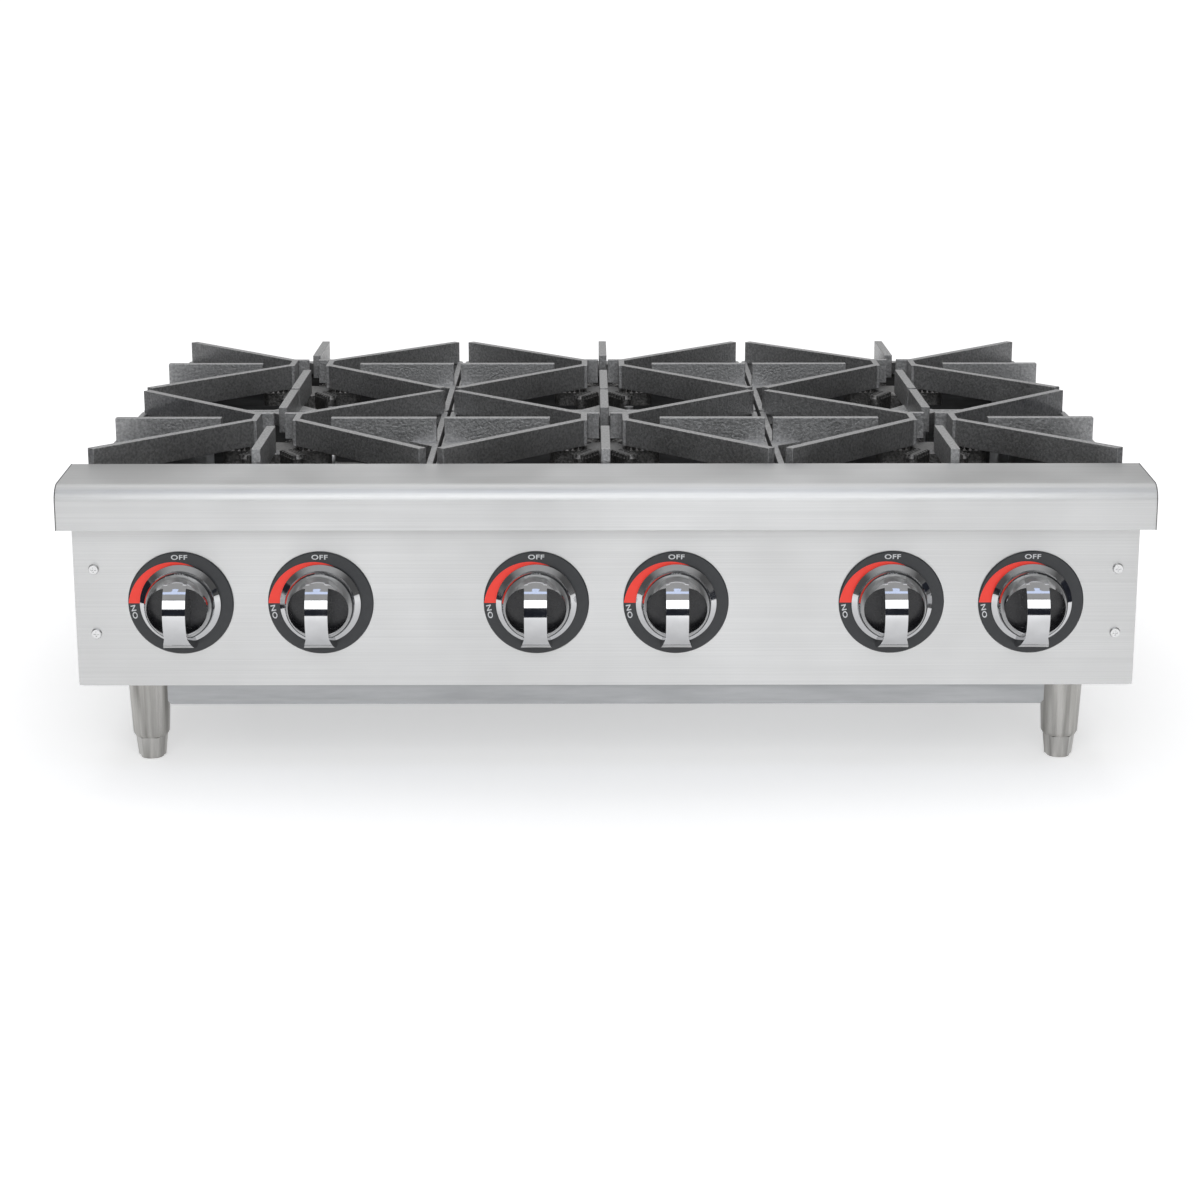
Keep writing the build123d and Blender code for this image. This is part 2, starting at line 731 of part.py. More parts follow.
# Grates: one iron casting per burner, an edge rail with eight bars around an open hub.
with BuildPart() as grate_casting:
    with BuildSketch(Plane.XY.offset(seat_z)):
        RectangleRounded(grate_width, grate_length, grate_corner)
        Rectangle(grate_width - 2 * grate_rail, grate_length - 2 * grate_rail, mode=Mode.SUBTRACT)
        inner_x = grate_width / 2 - grate_rail
        inner_y = grate_length / 2 - grate_rail
        for sign in (-1, 1):
            with BuildLine():
                Polyline(
                    (sign * inner_x, -gusset),
                    (sign * inner_x, gusset),
                    (sign * (inner_x - gusset), bar_width / 2),
                    (sign * (inner_x - gusset), -bar_width / 2),
                    close=True,
                )
            make_face()
            with BuildLine():
                Polyline(
                    (-gusset, sign * inner_y),
                    (gusset, sign * inner_y),
                    (bar_width / 2, sign * (inner_y - gusset)),
                    (-bar_width / 2, sign * (inner_y - gusset)),
                    close=True,
                )
            make_face()
    extrude(amount=grate_rail_depth)
    bar_bottom_z = seat_z + grate_rail_depth - bar_overlap
    end_x = grate_width / 2 - bar_end_inset
    end_y = grate_length / 2 - bar_end_inset
    with BuildSketch(Plane.XY.offset(bar_bottom_z)):
        for sign in (-1, 1):
            with Locations((sign * (end_x + mid_bar_side_start) / 2, 0)):
                Rectangle(end_x - mid_bar_side_start, bar_width)
        with Locations((0, (end_y + mid_bar_rear_start) / 2)):
            Rectangle(bar_width, end_y - mid_bar_rear_start)
        with Locations((0, -(end_y + mid_bar_front_start) / 2)):
            Rectangle(bar_width, end_y - mid_bar_front_start)
        for side in (-1, 1):
            for hub_y, corner_y in ((-hub_front + hub_wall, -end_y), (hub_rear - hub_wall, end_y)):
                start_x = side * (hub_half_width - hub_wall / 2)
                corner_x = side * (end_x - bar_width / 2)
                reach_y = corner_y - math.copysign(bar_width / 2, corner_y)
                run = math.hypot(corner_x - start_x, reach_y - hub_y)
                turn = math.degrees(math.atan2(reach_y - hub_y, corner_x - start_x))
                with Locations(Location(((start_x + corner_x) / 2, (hub_y + reach_y) / 2, 0), (0, 0, turn))):
                    Rectangle(run, bar_width)
            with Locations((side * (hub_half_width - hub_wall / 2), (hub_rear - hub_front) / 2)):
                Rectangle(hub_wall, hub_rear + hub_front)
            with Locations((side * (hub_half_width + hub_slot / 2) / 2, hub_rear - hub_wall / 2)):
                Rectangle(hub_half_width - hub_slot / 2, hub_wall)
    extrude(amount=grate_top_z - bar_bottom_z)

for row, row_y in enumerate(row_ys):
    for column, column_x in enumerate(column_xs):
        with BuildPart() as grate:
            with Locations((column_x, row_y, 0)):
                add(grate_casting.part)
        save(grate, "grate_" + row_names[row] + "_" + column_names[column])

# Pilot tubes: one from the manifold to the side of each burner head, with a nut and a tip.
with BuildPart() as pilots:
    for row, row_y in enumerate(row_ys):
        for column_x in column_xs:
            pilot_x = column_x + (pilot_offset if row else -pilot_offset)
            pilot_y = row_y - burner_arm_reach - pilot_head_gap
            pilot_level = knob_height + pilot_rise
            tube_start_z = manifold_z + pipe_radius + joint_gap
            tube_end_z = burner_top_z - pilot_tip_drop
            with BuildLine():
                pilot_route = FilletPolyline(
                    (pilot_x, manifold_y, tube_start_z),
                    (pilot_x, manifold_y, pilot_level),
                    (pilot_x, pilot_y, pilot_level),
                    (pilot_x, pilot_y, tube_end_z),
                    radius=pilot_bend_radius,
                )
            with BuildSketch(Plane(origin=pilot_route @ 0, z_dir=pilot_route % 0)):
                Circle(pilot_radius)
            sweep(path=pilot_route)
            with BuildSketch(Plane.XY.offset(tube_end_z - pilot_tip_length)):
                with Locations((pilot_x, pilot_y)):
                    Circle(pilot_tip_radius)
            extrude(amount=pilot_tip_length)
            with BuildSketch(Plane.XY.offset(tube_start_z)):
                with Locations((pilot_x, manifold_y)):
                    RegularPolygon(pilot_nut_radius, 6)
            extrude(amount=pilot_nut_height)
save(pilots, "pilots")

# Crumb tray: a shallow pan with side flanges that ride in the runners, and a wide front lip.
tray_front_y = panel_y + tray_lip_setback
tray_lip_top_z = skirt_z - tray_lip_gap
tray_lip_bottom_z = tray_lip_top_z - tray_lip_height
tray_pan_half = tray_width / 2 - tray_pan_inset
tray_top_z = tray_lip_top_z - tray_sheet
with BuildPart() as crumb_tray:
    with BuildSketch(Plane.XZ.offset(-(tray_front_y + tray_sheet))):
        with Locations((0, (tray_lip_top_z + tray_lip_bottom_z) / 2)):
            Rectangle(tray_width, tray_lip_height)
        chamfer(vertices().group_by(Axis.Y)[0], length=tray_lip_bevel)
    extrude(amount=tray_sheet)
    with BuildSketch(Plane.XY.offset(tray_lip_top_z - tray_sheet)):
        with Locations((0, tray_front_y)):
            Rectangle(tray_width, tray_lip_return, align=(Align.CENTER, Align.MIN))
    extrude(amount=tray_sheet)
    with BuildSketch(Plane.XY.offset(tray_lip_bottom_z)):
        with Locations((0, tray_front_y)):
            Rectangle(2 * tray_pan_half, tray_length, align=(Align.CENTER, Align.MIN))
    extrude(amount=tray_top_z - tray_lip_bottom_z)
    with BuildSketch(Plane.XY.offset(tray_lip_bottom_z + tray_sheet)):
        with Locations((0, tray_front_y + tray_sheet)):
            Rectangle(
                2 * (tray_pan_half - tray_sheet),
                tray_length - 2 * tray_sheet,
                align=(Align.CENTER, Align.MIN),
            )
    extrude(amount=tray_lip_height, mode=Mode.SUBTRACT)
    with BuildSketch(Plane.XY.offset(tray_top_z - tray_sheet)):
        for side in (-1, 1):
            with Locations((side * (tray_pan_half - tray_sheet), tray_front_y + runner_front_gap)):
                Rectangle(
                    tray_flange,
                    tray_length - runner_front_gap,
                    align=(Align.MIN if side > 0 else Align.MAX, Align.MIN),
                )
    extrude(amount=tray_sheet)
save(crumb_tray, "crumb_tray")

# Tray runners: a bent strip under each base rail that holds the tray by its flange.
with BuildPart() as tray_runners:
    runner_web_x = tray_pan_half - tray_sheet + tray_flange + runner_side_gap
    runner_front_y = tray_front_y + runner_setback
    runner_low_z = tray_top_z - tray_sheet - joint_gap - runner_sheet
    for side in (-1, 1):
        outward = Align.MIN if side > 0 else Align.MAX
        inward = Align.MAX if side > 0 else Align.MIN
        with BuildSketch(Plane.XY.offset(runner_low_z)):
            with Locations((side * runner_web_x, runner_front_y)):
                Rectangle(runner_sheet, runner_length, align=(outward, Align.MIN))
        extrude(amount=leg_height - joint_gap - runner_low_z)
        with BuildSketch(Plane.XY.offset(runner_low_z)):
            with Locations((side * (runner_web_x + runner_sheet), runner_front_y)):
                Rectangle(runner_ledge, runner_length, align=(inward, Align.MIN))
        extrude(amount=runner_sheet)
        with BuildSketch(Plane.XY.offset(leg_height - joint_gap - runner_sheet)):
            with Locations((side * (runner_web_x + runner_sheet), runner_front_y)):
                Rectangle(runner_ledge, runner_length, align=(inward, Align.MIN))
        extrude(amount=runner_sheet)
save(tray_runners, "tray_runners")

# Legs with a threaded stud on top, and feet that screw into them.
with BuildPart() as leg_turning:
    with BuildSketch(Plane.XZ):
        with BuildLine():
            Polyline(
                (foot_stem_radius + foot_fit, leg_bottom_height),
                (leg_bottom_radius - leg_edge, leg_bottom_height),
                (leg_bottom_radius, leg_bottom_height + leg_edge_rise),
                (leg_top_radius, leg_height - leg_collar_height),
                (leg_top_radius, leg_height - joint_gap),
                (stud_radius, leg_height - joint_gap),
                (stud_radius, leg_height + stud_length),
                (0, leg_height + stud_length),
                (0, leg_bottom_height + leg_bore_depth),
                (foot_stem_radius + foot_fit, leg_bottom_height + leg_bore_depth),
                close=True,
            )
        make_face()
    revolve(axis=Axis.Z)

foot_top_z = leg_bottom_height - joint_gap
with BuildPart() as foot_turning:
    with BuildSketch(Plane.XY.offset(foot_toe_height)):
        RegularPolygon(foot_bottom_across / 2, 6, major_radius=False)
    with BuildSketch(Plane.XY.offset(foot_top_z)):
        RegularPolygon(foot_top_across / 2, 6, major_radius=False)
    loft()
    with BuildSketch(Plane.XY):
        Circle(foot_toe_radius)
    extrude(amount=foot_toe_height)
    with BuildSketch(Plane.XY.offset(foot_top_z)):
        Circle(foot_stem_radius)
    extrude(amount=foot_stem_length)

for row, leg_y in enumerate((leg_front_y, leg_rear_y)):
    for side, side_name in ((-1, "left"), (1, "right")):
        with BuildPart() as leg:
            with Locations((side * leg_x, leg_y, 0)):
                add(leg_turning.part)
        save(leg, "leg_" + row_names[row] + "_" + side_name)
        with BuildPart() as foot:
            with Locations((side * leg_x, leg_y, 0)):
                add(foot_turning.part)
        save(foot, "foot_" + row_names[row] + "_" + side_name)

# Screws that hold the front panel to the flanges of the side panels.
with BuildPart() as panel_screws:
    for side in (-1, 1):
        for screw_z in (screw_low_height, screw_high_height):
            screw_x = side * (half_width - screw_inset_x)
            with BuildSketch(Plane.XZ.offset(-panel_y)):
                with Locations((screw_x, screw_z)):
                    Circle(screw_head_radius)
            extrude(amount=screw_head_height, taper=screw_taper)
            with BuildSketch(Plane.XZ.offset(-panel_y)):
                with Locations((screw_x, screw_z)):
                    Circle(screw_shank_radius - stem_fit)
            extrude(amount=-screw_length)
            with BuildSketch(Plane.XZ.offset(-(panel_y - screw_head_height))):
                with Locations((screw_x, screw_z)):
                    Rectangle(screw_head_radius, screw_slot_width)
                    Rectangle(screw_slot_width, screw_head_radius)
            extrude(amount=-screw_slot_depth, mode=Mode.SUBTRACT)
save(panel_screws, "panel_screws")
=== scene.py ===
# %% [markdown]
# # A six-burner gas hot plate, dressed for a studio photograph
#
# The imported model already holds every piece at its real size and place. This lesson gives the pieces the
# looks of the real appliance: rough cast iron, brushed stainless steel, polished chrome and satin nickel.
# Where the plain solid is not enough, a new piece is modelled over it or in its stead.
#
# Lengths are in metres. The width runs along X, the front faces against Y and Z points up.

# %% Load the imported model
import json
import math

import bpy
from mathutils import Matrix, Vector


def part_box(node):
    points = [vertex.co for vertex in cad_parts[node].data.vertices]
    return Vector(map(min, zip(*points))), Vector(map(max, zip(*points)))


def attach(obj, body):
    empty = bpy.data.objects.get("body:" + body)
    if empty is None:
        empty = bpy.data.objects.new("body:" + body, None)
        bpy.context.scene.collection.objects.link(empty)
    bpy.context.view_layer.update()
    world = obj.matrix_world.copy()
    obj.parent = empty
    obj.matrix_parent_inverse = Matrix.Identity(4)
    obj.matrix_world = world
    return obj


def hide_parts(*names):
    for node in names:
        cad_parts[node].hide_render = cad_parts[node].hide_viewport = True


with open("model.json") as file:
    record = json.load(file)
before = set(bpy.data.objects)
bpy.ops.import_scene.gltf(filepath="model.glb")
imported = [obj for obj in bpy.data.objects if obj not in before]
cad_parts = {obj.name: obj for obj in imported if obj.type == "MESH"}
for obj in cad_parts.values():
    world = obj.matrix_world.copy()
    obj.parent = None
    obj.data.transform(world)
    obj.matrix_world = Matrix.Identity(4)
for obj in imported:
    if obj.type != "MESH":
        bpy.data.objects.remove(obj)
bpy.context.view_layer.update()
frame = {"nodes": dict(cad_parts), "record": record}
nodes = frame["nodes"]
bodies = frame["record"]["behaviour"]["bodies"]
body_of = {node: body for body, members in bodies.items() for node in members}
slot_of = {part["node"]: part["material_slot"] for part in frame["record"]["subparts"]}

# %% [markdown]
# The photograph looks down on the appliance from the front with a long lens. The place, tilt and lens come
# from fitting the corners of the ledge, panel and grates to the photograph. The small shift only centres it.

# %% Camera
tilt_down = 13.6
turn_right = 0.25
camera_data = bpy.data.cameras.new("studio_camera")
camera_data.sensor_width = 36.0
camera_data.lens = 74.48
camera_data.shift_y = -0.05
camera_data.clip_end = 200.0
camera = bpy.data.objects.new("studio_camera", camera_data)
bpy.context.scene.collection.objects.link(camera)
camera.location = (-0.0141, -2.3418, 0.7005)
camera.rotation_euler = (math.radians(90 - tilt_down), 0, math.radians(-turn_right))
bpy.context.scene.camera = camera

# %% [markdown]
# Many materials below work with masks: numbers from 0 to 1 that say where an effect shows. One helper turns a
# mask into another number, such as a roughness, and the other keeps the largest of several numbers. Most masks
# are noise, which seldom leaves the range from 0.3 to 0.7, so that is the usual start and stop.

# %% Number helpers
def spread(tree, source, low, high, start=0.3, stop=0.7):
    """A number that runs from low to high as the source goes from start to stop."""
    span = tree.nodes.new("ShaderNodeMapRange")
    for socket, value in (("From Min", start), ("From Max", stop), ("To Min", low), ("To Max", high)):
        span.inputs[socket].default_value = value
    tree.links.new(source, span.inputs["Value"])
    return span.outputs[0]


def largest(tree, *sources):
    """The largest of some numbers."""
    best = sources[0]
    for source in sources[1:]:
        larger = tree.nodes.new("ShaderNodeMath")
        larger.operation = "MAXIMUM"
        tree.links.new(best, larger.inputs[0])
        tree.links.new(source, larger.inputs[1])
        best = larger.outputs[0]
    return best


# %% [markdown]
# The floor is one large pale sheet. Its own colour is nearly white, and a little glow that only the camera
# and the mirrors see lifts it to the white of the photograph. The glow fades near the object, where the lamps
# already make the sheet white, so the shadow under the tray stays.

# %% Floor
bpy.ops.object.select_all(action="DESELECT")
bpy.ops.mesh.primitive_plane_add(size=120.0)
floor = bpy.context.object
floor.name = "studio_floor"
floor_paint = bpy.data.materials.new("floor_paint")
floor_paint.use_nodes = True
tree = floor_paint.node_tree
tree.nodes.clear()
out = tree.nodes.new("ShaderNodeOutputMaterial")
diffuse = tree.nodes.new("ShaderNodeBsdfDiffuse")
diffuse.inputs["Color"].default_value = (0.86, 0.86, 0.86, 1)
glow = tree.nodes.new("ShaderNodeEmission")
sheet_place = tree.nodes.new("ShaderNodeTexCoord")
from_middle = tree.nodes.new("ShaderNodeVectorMath")
from_middle.operation = "LENGTH"
tree.links.new(sheet_place.outputs["Object"], from_middle.inputs[0])
fading = spread(tree, from_middle.outputs["Value"], 0.45, 0.74, start=0.35, stop=1.1)
tree.links.new(fading, glow.inputs["Strength"])
shine = tree.nodes.new("ShaderNodeMixShader")
both = tree.nodes.new("ShaderNodeAddShader")
path = tree.nodes.new("ShaderNodeLightPath")
seen = largest(tree, *[path.outputs["Is %s Ray" % kind] for kind in ("Camera", "Glossy", "Transmission")])
tree.links.new(diffuse.outputs[0], both.inputs[0])
tree.links.new(glow.outputs[0], both.inputs[1])
tree.links.new(seen, shine.inputs[0])
tree.links.new(diffuse.outputs[0], shine.inputs[1])
tree.links.new(both.outputs[0], shine.inputs[2])
tree.links.new(shine.outputs[0], out.inputs["Surface"])
floor.data.materials.append(floor_paint)

# %% [markdown]
# The room is a soft dome: pale behind the appliance, at both sides and overhead, and darker in front. A wide
# soft box in front lights the panel, another hangs over the grates, and a narrow cool strip stands in for a row
# of windows. Dark cards that only mirrors see stand in front and at both sides. They give the chrome its dark
# band, lay one soft upright shade on the panel and keep the slanting grate bars dark.

# %% Room and lamps
world = bpy.data.worlds.new("studio_room")
bpy.context.scene.world = world
world.use_nodes = True
tree = world.node_tree
tree.nodes.clear()
out = tree.nodes.new("ShaderNodeOutputWorld")
air = tree.nodes.new("ShaderNodeBackground")
coords = tree.nodes.new("ShaderNodeTexCoord")
split = tree.nodes.new("ShaderNodeSeparateXYZ")
beside = tree.nodes.new("ShaderNodeMath")
beside.operation = "ABSOLUTE"
tree.links.new(coords.outputs["Generated"], split.inputs[0])
tree.links.new(split.outputs["X"], beside.inputs[0])
behind_glow = spread(tree, split.outputs["Y"], 0.14, 0.48, start=0.4, stop=0.96)
overhead_glow = spread(tree, split.outputs["Z"], 0.0, 0.6, start=0.4, stop=0.75)
side_glow = spread(tree, beside.outputs[0], 0.0, 0.32, start=0.75, stop=0.95)
tree.links.new(largest(tree, behind_glow, overhead_glow, side_glow), air.inputs["Color"])
air.inputs["Strength"].default_value = 0.9
tree.links.new(air.outputs[0], out.inputs["Surface"])


def soft_lamp(name, place, aim, width, height, power, tint):
    """One rectangular soft lamp that faces the point it is aimed at."""
    data = bpy.data.lights.new(name, "AREA")
    data.shape = "RECTANGLE"
    data.size = width
    data.size_y = height
    data.energy = power
    data.color = tint
    lamp = bpy.data.objects.new(name, data)
    bpy.context.scene.collection.objects.link(lamp)
    lamp.location = place
    lamp.rotation_euler = (Vector(aim) - Vector(place)).to_track_quat("-Z", "Y").to_euler()


soft_lamp("top_box", (0.0, 0.5, 2.4), (0, 0.1, 0.2), 2.2, 1.4, 8.0, (1.0, 1.0, 1.0))
soft_lamp("front_box", (0.0, -2.45, 1.3), (0, -0.3, 0.15), 2.0, 1.25, 19.0, (0.97, 0.985, 1.0))
soft_lamp("window_strip", (0.0, -1.15, 2.0), (0, -0.35, 0.15), 1.8, 0.26, 1.6, (0.5, 0.64, 1.0))

card_felt = bpy.data.materials.new("card_felt")
card_felt.use_nodes = True
felt = card_felt.node_tree.nodes["Principled BSDF"]
felt.inputs["Base Color"].default_value = (0.02, 0.024, 0.038, 1)
felt.inputs["Roughness"].default_value = 0.9


def dark_card(name, place, turn, width, height):
    """An upright black card that only mirrors see."""
    bpy.ops.object.select_all(action="DESELECT")
    upright = (math.radians(90), 0, math.radians(turn))
    bpy.ops.mesh.primitive_plane_add(size=1.0, location=place, rotation=upright)
    card = bpy.context.object
    card.name = name
    card.scale = (width, height, 1)
    card.data.materials.append(card_felt)
    card.visible_camera = False
    card.visible_diffuse = False
    card.visible_shadow = False


dark_card("front_card", (0, -1.75, 0.33), 0, 3.4, 0.52)
dark_card("narrow_card", (-0.09, -1.3, 0.2), 0, 0.12, 0.6)
dark_card("left_card", (-1.05, -0.1, 0.2), 90, 1.3, 0.4)
dark_card("right_card", (1.05, -0.1, 0.2), 90, 1.3, 0.4)

# %% [markdown]
# Several finishes share two effects, so each effect is a node group. The first is a set of fine strokes,
# like the brushing on sheet steel. The second is the pitted skin that sand leaves on cast iron, with a mask for
# the faces that look up, where the iron gets a painted highlight.

# %% Shared effects
def new_group(name, inputs, outputs):
    """A shader group with number inputs and named outputs, and the two nodes that give and take its values."""
    group = bpy.data.node_groups.new(name, "ShaderNodeTree")
    for socket, value in inputs:
        made = group.interface.new_socket(socket, in_out="INPUT", socket_type="NodeSocketFloat")
        made.default_value = value
    for socket, kind in outputs:
        group.interface.new_socket(socket, in_out="OUTPUT", socket_type=kind)
    return group, group.nodes.new("NodeGroupInput"), group.nodes.new("NodeGroupOutput")


brushing, given, result = new_group(
    "brushing",
    [("Scale X", 3.0), ("Scale Y", 900.0), ("Scale Z", 900.0), ("Depth", 0.0002)],
    [("Strokes", "NodeSocketFloat"), ("Clouds", "NodeSocketFloat"), ("Normal", "NodeSocketVector")],
)
coords = brushing.nodes.new("ShaderNodeTexCoord")
stretch = brushing.nodes.new("ShaderNodeCombineXYZ")
scaled = brushing.nodes.new("ShaderNodeVectorMath")
scaled.operation = "MULTIPLY"
strokes = brushing.nodes.new("ShaderNodeTexNoise")
strokes.inputs["Scale"].default_value = 1.0
strokes.inputs["Detail"].default_value = 4.0
strokes.inputs["Roughness"].default_value = 0.65
clouds = brushing.nodes.new("ShaderNodeTexNoise")
clouds.inputs["Scale"].default_value = 7.0
clouds.inputs["Detail"].default_value = 3.0
ridge = brushing.nodes.new("ShaderNodeBump")
ridge.inputs["Strength"].default_value = 0.6
for axis in "XYZ":
    brushing.links.new(given.outputs["Scale " + axis], stretch.inputs[axis])
brushing.links.new(coords.outputs["Object"], scaled.inputs[0])
brushing.links.new(stretch.outputs[0], scaled.inputs[1])
brushing.links.new(scaled.outputs[0], strokes.inputs["Vector"])
brushing.links.new(coords.outputs["Object"], clouds.inputs["Vector"])
brushing.links.new(strokes.outputs["Fac"], ridge.inputs["Height"])
brushing.links.new(given.outputs["Depth"], ridge.inputs["Distance"])
brushing.links.new(strokes.outputs["Fac"], result.inputs["Strokes"])
brushing.links.new(clouds.outputs["Fac"], result.inputs["Clouds"])
brushing.links.new(ridge.outputs[0], result.inputs["Normal"])

casting, given, result = new_group(
    "casting_skin",
    [("Pit Scale", 420.0), ("Patch Scale", 22.0), ("Depth", 0.0006)],
    [("Pits", "NodeSocketFloat"), ("Patches", "NodeSocketFloat"), ("Upward Highlight", "NodeSocketFloat"),
     ("Normal", "NodeSocketVector")],
)
coords = casting.nodes.new("ShaderNodeTexCoord")
pits = casting.nodes.new("ShaderNodeTexNoise")
pits.inputs["Detail"].default_value = 6.0
pits.inputs["Roughness"].default_value = 0.6
patches = casting.nodes.new("ShaderNodeTexNoise")
patches.inputs["Detail"].default_value = 4.0
facing = casting.nodes.new("ShaderNodeNewGeometry")
split = casting.nodes.new("ShaderNodeSeparateXYZ")
# The mask for the painted highlight on the faces that look up.
upward_highlight = spread(casting, split.outputs["Z"], 0.0, 1.0, start=0.6, stop=0.95)
dent = casting.nodes.new("ShaderNodeBump")
dent.inputs["Strength"].default_value = 0.9
casting.links.new(coords.outputs["Object"], pits.inputs["Vector"])
casting.links.new(coords.outputs["Object"], patches.inputs["Vector"])
casting.links.new(given.outputs["Pit Scale"], pits.inputs["Scale"])
casting.links.new(given.outputs["Patch Scale"], patches.inputs["Scale"])
casting.links.new(facing.outputs["Normal"], split.inputs[0])
casting.links.new(pits.outputs["Fac"], dent.inputs["Height"])
casting.links.new(given.outputs["Depth"], dent.inputs["Distance"])
casting.links.new(pits.outputs["Fac"], result.inputs["Pits"])
casting.links.new(patches.outputs["Fac"], result.inputs["Patches"])
casting.links.new(upward_highlight, result.inputs["Upward Highlight"])
casting.links.new(dent.outputs[0], result.inputs["Normal"])
print("groups", [g.name for g in bpy.data.node_groups])

# %% [markdown]
# Each finish is a Principled shader whose colour and roughness vary with a mask. Three small helpers make the
# material, blend two colours and place a shared effect. Three larger ones build whole finishes from them:
# brushed sheet, cast iron, and a plain metal or paint. The last one puts a finish on a piece.

# %% Material helpers
def new_finish(name, metallic):
    """A material with a Principled shader, ready for its colour and grain."""
    finish = bpy.data.materials.new(name)
    finish.use_nodes = True
    shader = finish.node_tree.nodes["Principled BSDF"]
    shader.inputs["Metallic"].default_value = metallic
    return finish, finish.node_tree, shader


def blend(tree, mask, low, high, start=0.3, stop=0.7):
    """A colour that goes from low to high as the mask goes from start to stop."""
    ramp = tree.nodes.new("ShaderNodeValToRGB")
    ramp.color_ramp.elements[0].position = start
    ramp.color_ramp.elements[0].color = (*low, 1)
    ramp.color_ramp.elements[1].position = stop
    ramp.color_ramp.elements[1].color = (*high, 1)
    tree.links.new(mask, ramp.inputs[0])
    return ramp.outputs[0]


def use_group(tree, group, **values):
    """A shared effect placed in a material with its own values."""
    placed = tree.nodes.new("ShaderNodeGroup")
    placed.node_tree = group
    for socket, value in values.items():
        placed.inputs[socket.replace("_", " ")].default_value = value
    return placed


def sheet_finish(name, low, high, smooth, rough, grain_axis="X", **values):
    """Brushed sheet metal. Its highlights stretch across the strokes, which run along the grain axis."""
    finish, tree, shader = new_finish(name, 1.0)
    grain = use_group(tree, brushing, **values)
    cloudy = tree.nodes.new("ShaderNodeMix")
    cloudy.data_type = "RGBA"
    cloudy.blend_type = "MULTIPLY"
    cloudy.inputs["Factor"].default_value = 1.0
    dull, full = (0.84, 0.84, 0.84), (1.0, 1.0, 1.0)
    tree.links.new(blend(tree, grain.outputs["Strokes"], low, high), cloudy.inputs["A"])
    tree.links.new(blend(tree, grain.outputs["Clouds"], dull, full), cloudy.inputs["B"])
    tree.links.new(cloudy.outputs["Result"], shader.inputs["Base Color"])
    tree.links.new(spread(tree, grain.outputs["Clouds"], smooth, rough), shader.inputs["Roughness"])
    tree.links.new(grain.outputs["Normal"], shader.inputs["Normal"])
    shader.inputs["Anisotropic"].default_value = 0.75
    turn = tree.nodes.new("ShaderNodeTangent")
    turn.direction_type = "RADIAL"
    turn.axis = grain_axis
    tree.links.new(turn.outputs[0], shader.inputs["Tangent"])
    return finish


def iron_finish(name, low, high, top):
    """Cast iron: dark pitted sides and a paler tone on what faces up, a painted highlight for the light from
    above.
    """
    finish, tree, shader = new_finish(name, 0.93)
    skin = use_group(tree, casting)
    pit_range = (0.38, 0.62)
    lit_top_pits = [tone * 0.7 for tone in top]
    sides = blend(tree, skin.outputs["Pits"], low, high, *pit_range)
    lit_tops = blend(tree, skin.outputs["Pits"], lit_top_pits, top, *pit_range)
    # Painted highlight: the faces that look up take the paler tone.
    mix = tree.nodes.new("ShaderNodeMix")
    mix.data_type = "RGBA"
    tree.links.new(skin.outputs["Upward Highlight"], mix.inputs["Factor"])
    tree.links.new(sides, mix.inputs["A"])
    tree.links.new(lit_tops, mix.inputs["B"])
    tree.links.new(mix.outputs["Result"], shader.inputs["Base Color"])
    tree.links.new(spread(tree, skin.outputs["Patches"], 0.4, 0.54), shader.inputs["Roughness"])
    tree.links.new(skin.outputs["Normal"], shader.inputs["Normal"])
    return finish


def plain_finish(name, low, high, metallic, smooth, rough, scale, rise=1.0):
    """A finish whose colour and gloss wander. A small rise draws the patches out into upright streaks."""
    finish, tree, shader = new_finish(name, metallic)
    coords = tree.nodes.new("ShaderNodeTexCoord")
    streaks = tree.nodes.new("ShaderNodeMapping")
    streaks.inputs["Scale"].default_value = (1.0, 1.0, rise)
    wander = tree.nodes.new("ShaderNodeTexNoise")
    wander.inputs["Scale"].default_value = scale
    wander.inputs["Detail"].default_value = 4.0
    tree.links.new(coords.outputs["Object"], streaks.inputs["Vector"])
    tree.links.new(streaks.outputs[0], wander.inputs["Vector"])
    tree.links.new(blend(tree, wander.outputs["Fac"], low, high), shader.inputs["Base Color"])
    tree.links.new(spread(tree, wander.outputs["Fac"], smooth, rough), shader.inputs["Roughness"])
    return finish


def dress(piece, finish):
    """Gives the piece this finish and no other."""
    piece.data.materials.clear()
    piece.data.materials.append(finishes[finish])


# %% [markdown]
# A sheet finish is given a dark and a light tone, its lowest and highest roughness and its grain: the stainless
# sheets have long fine strokes along one axis, and the zinc has short coarse ones. Cast iron has its two tones
# and a paler one for what faces up, a painted highlight. A plain finish is given its two tones, how metallic it
# is, its lowest and highest roughness, the scale of its pattern and, for the streaks on the turned legs and
# feet, the rise.
#
# The red of the dials glows a little, painted light that makes the print brighter.

